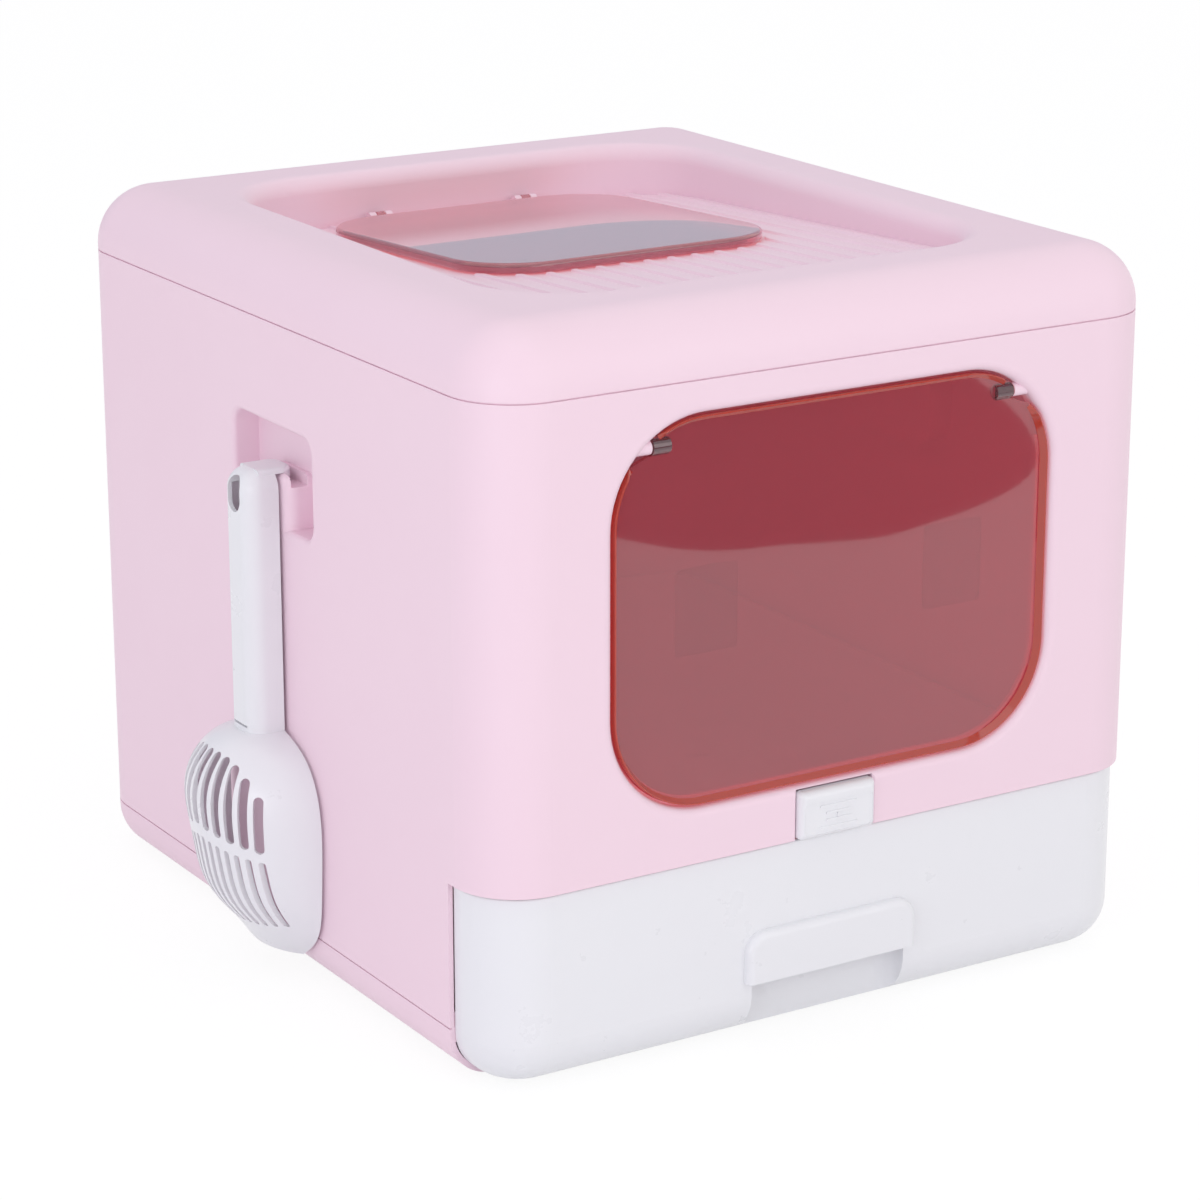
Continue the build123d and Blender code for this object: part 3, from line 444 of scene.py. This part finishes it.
# %% [markdown]
# ## Pads and hinge ends of the door
# Two thin pads are moulded on the back of the door, and they show through it as slightly darker
# squares. The sheet gets the deeper tint where the point is behind the panel's middle and inside
# one of the squares. The thick hinge ends look smoky grey, and get their tint the same way. The
# door is the same left and right, so one patch in |x| serves for both sides.

# %% Tinted patches
door_low, door_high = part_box("front_flap")
door_face, panel_thickness = -0.2200, 0.0030
panel_middle_y = door_face + panel_thickness / 2
panel_middle_z = (door_low.z + door_high.z) / 2
pad_middle_x, pad_half_width, pad_half_height = 0.0740, 0.0180, 0.0220
hinge_x, hinge_half_width, hinge_z, hinge_half_height = 0.1020, 0.0052, 0.3179, 0.0042
pad_tint, hinge_tint = (0.47, 0.104, 0.138, 1), (0.22, 0.10, 0.125, 1)


def inside(tree, source, output, middle, half):
    """1 where |value - middle| < half, else 0."""
    away = add_node(tree, "ShaderNodeMath", {1: middle}, operation="SUBTRACT")
    far = add_node(tree, "ShaderNodeMath", operation="ABSOLUTE")
    near = add_node(tree, "ShaderNodeMath", {1: half}, operation="LESS_THAN")
    link(tree, source, output, away, 0)
    link(tree, away, 0, far, 0)
    link(tree, far, 0, near, 0)
    return near


def patch(tree, side, height, middle_x, half_width, middle_z, half_height):
    """1 inside a rectangle of |x| and z, else 0."""
    square = add_node(tree, "ShaderNodeMath", operation="MULTIPLY")
    link(tree, inside(tree, side, 0, middle_x, half_width), 0, square, 0)
    link(tree, inside(tree, height, "Z", middle_z, half_height), 0, square, 1)
    return square


def tint_patches(material, tint):
    """Deeper tint on the back of the door inside the pads, and smoke in the hinge ends."""
    tree = material.node_tree
    place = add_node(tree, "ShaderNodeTexCoord")
    parts = add_node(tree, "ShaderNodeSeparateXYZ")
    side = add_node(tree, "ShaderNodeMath", operation="ABSOLUTE")
    behind = add_node(tree, "ShaderNodeMath", {1: panel_middle_y}, operation="GREATER_THAN")
    pad = add_node(tree, "ShaderNodeMath", operation="MULTIPLY")
    panel_tone = add_node(tree, "ShaderNodeMix", {mix_a: tint, mix_b: pad_tint}, data_type="RGBA")
    tone = add_node(tree, "ShaderNodeMix", {mix_b: hinge_tint}, data_type="RGBA")
    link(tree, place, "Object", parts, "Vector")
    link(tree, parts, "X", side, 0)
    link(tree, parts, "Y", behind, 0)
    pads = patch(tree, side, parts, pad_middle_x, pad_half_width, panel_middle_z, pad_half_height)
    hinges = patch(tree, side, parts, hinge_x, hinge_half_width, hinge_z, hinge_half_height)
    link(tree, pads, 0, pad, 0)
    link(tree, behind, 0, pad, 1)
    link(tree, pad, 0, panel_tone, "Factor")
    link(tree, panel_tone, mix_result, tone, mix_a)
    link(tree, hinges, 0, tone, "Factor")
    link(tree, tone, mix_result, tree.nodes["Principled BSDF"], "Base Color")


tint_patches(door_sheet, door_tint)
print("pads centred at x", pad_middle_x, "and z", round(panel_middle_z, 4))

# %% [markdown]
# ## Rim of the door
# A bevelled rim runs round the flat panel of the door and shows a deeper red. That deep red is painted:
# it stands in for the lit pink stop lip behind the door, which shows red through the sheet. The rim
# follows the panel's outline, a rectangle with round corners. Each point of that outline is a corner's
# centre plus a radius along the outward normal, so a rim of any profile is the same path at several
# radii. The rim stops at the notches that clear the hinge pins, so it is made in two runs, and each run
# sinks into the panel at its ends.

# %% Door rim
panel_corner = 0.0518
corner_x = door_high.x - panel_corner
corner_low, corner_high = door_low.z + panel_corner, door_high.z - panel_corner
rim_insets = np.array([0.0004, 0.0004, 0.0007, 0.0011, 0.0031, 0.0031])
rim_rises = np.array([-0.10, 0.85, 1.0, 1.0, 0.0, -0.10])
foot_reach, head_reach = 0.0036, 0.0024
steps_per_stretch, fade_stretch = 24, 0.15
crease_angle = np.radians(25)


def rim_run(name, centres_x, centres_z, turns, reach):
    """The rim's profile, inset i_k and rise h_k, swept along corners and straights t:
    P(t, k) = C(t) + (r - i_k) * (cos a(t), sin a(t)), at y = face - reach * h_k * fade(t)."""
    keys = np.arange(len(turns))
    t = np.linspace(0, keys[-1], keys[-1] * steps_per_stretch + 1)
    angle = np.interp(t, keys, turns)[:, None]
    radius = panel_corner - rim_insets[None, :]
    fade = np.clip(np.minimum(t, keys[-1] - t) / fade_stretch, 0, 1)[:, None]
    rise = np.where(rim_rises > 0, rim_rises * fade, rim_rises)
    points = np.stack([
        np.interp(t, keys, centres_x)[:, None] + radius * np.cos(angle),
        door_face - reach * rise,
        np.interp(t, keys, centres_z)[:, None] + radius * np.sin(angle),
    ], axis=-1)
    rows, columns = points.shape[:2]
    index = np.arange(rows * columns).reshape(rows, columns)
    beside = np.roll(index, -1, axis=1)
    quads = np.stack([index[:-1], beside[:-1], beside[1:], index[1:]], axis=-1).reshape(-1, 4)
    ends = [index[0][::-1].tolist(), index[-1].tolist()]
    mesh = bpy.data.meshes.new(name)
    mesh.from_pydata(points.reshape(-1, 3).tolist(), [], quads.tolist() + ends)
    shape = bmesh.new()
    shape.from_mesh(mesh)
    bmesh.ops.recalc_face_normals(shape, faces=shape.faces)
    shape.to_mesh(mesh)
    shape.free()
    mesh.polygons.foreach_set("use_smooth", np.ones(len(mesh.polygons), bool))
    mesh.set_sharp_from_angle(angle=crease_angle)
    mesh.materials.append(rim_painted_lip_sheet)
    rim = bpy.data.objects.new(name, mesh)
    scene.collection.objects.link(rim)
    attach(rim, "door")
    print(rim.name, "has", len(mesh.polygons), "faces")


right, top, left, low, round_again = np.radians((0, 90, 180, 270, 360))
side_lift, head_lift = np.radians(36), np.radians(60)
rim_run(
    "door_rim_foot",
    np.array([-1, -1, -1, -1, 1, 1, 1, 1]) * corner_x,
    [corner_high] * 2 + [corner_low] * 4 + [corner_high] * 2,
    [left - side_lift, left, left, low, low, round_again, round_again, round_again + side_lift],
    foot_reach,
)
rim_run(
    "door_rim_head",
    np.array([1, 1, -1, -1]) * corner_x,
    [corner_high] * 4,
    [right + head_lift, top, top, left - head_lift],
    head_reach,
)

# %% [markdown]
# ## Drawn steel pins
# The pins are short lengths of drawn wire. Drawing leaves fine lines along the wire, so the noise
# is stretched along X, the way all the pins lie.

# %% Pin steel
dark_steel, bright_steel = (0.50, 0.49, 0.50, 1), (0.64, 0.63, 0.64, 1)
line_scale = (120.0, 5200.0, 5200.0)

pin_steel = bpy.data.materials.new("pin_steel")
pin_steel.use_nodes = True
tree = pin_steel.node_tree
steel = tree.nodes["Principled BSDF"]
steel.inputs["Metallic"].default_value = 1.0
place = add_node(tree, "ShaderNodeTexCoord")
stretch = add_node(tree, "ShaderNodeMapping", {"Scale": line_scale})
lines = add_node(tree, "ShaderNodeTexNoise", {"Scale": 1.0, "Detail": 3.0})
shine = add_node(tree, "ShaderNodeMapRange", {"To Min": 0.22, "To Max": 0.42})
shade = add_node(tree, "ShaderNodeMix", {mix_a: dark_steel, mix_b: bright_steel}, data_type="RGBA")
link(tree, place, "Object", stretch, "Vector")
link(tree, stretch, "Vector", lines, "Vector")
link(tree, lines, 0, shine, "Value")
link(tree, shine, "Result", steel, "Roughness")
link(tree, lines, 0, shade, 0)
link(tree, shade, mix_result, steel, "Base Color")
print(pin_steel.name)

# %% [markdown]
# ## Dress the pieces
# Each CAD piece keeps its mesh and gets the finish of its moulding. Both flaps share one slot, so
# the swing door then gets its own, darker sheet.

# %% Assign the finishes
finishes = {
    "pink_shell": satin_pink,
    "white_plastic": gloss_white,
    "rose_clear": flap_sheet,
    "pin_metal": pin_steel,
}
for subpart in frame["record"]["subparts"]:
    piece = frame["nodes"][subpart["node"]]
    piece.data.materials.clear()
    piece.data.materials.append(finishes[subpart["material_slot"]])
    print(piece.name, "in", finishes[subpart["material_slot"]].name)

frame["nodes"]["front_flap"].data.materials[0] = door_sheet
print("front_flap in", door_sheet.name)
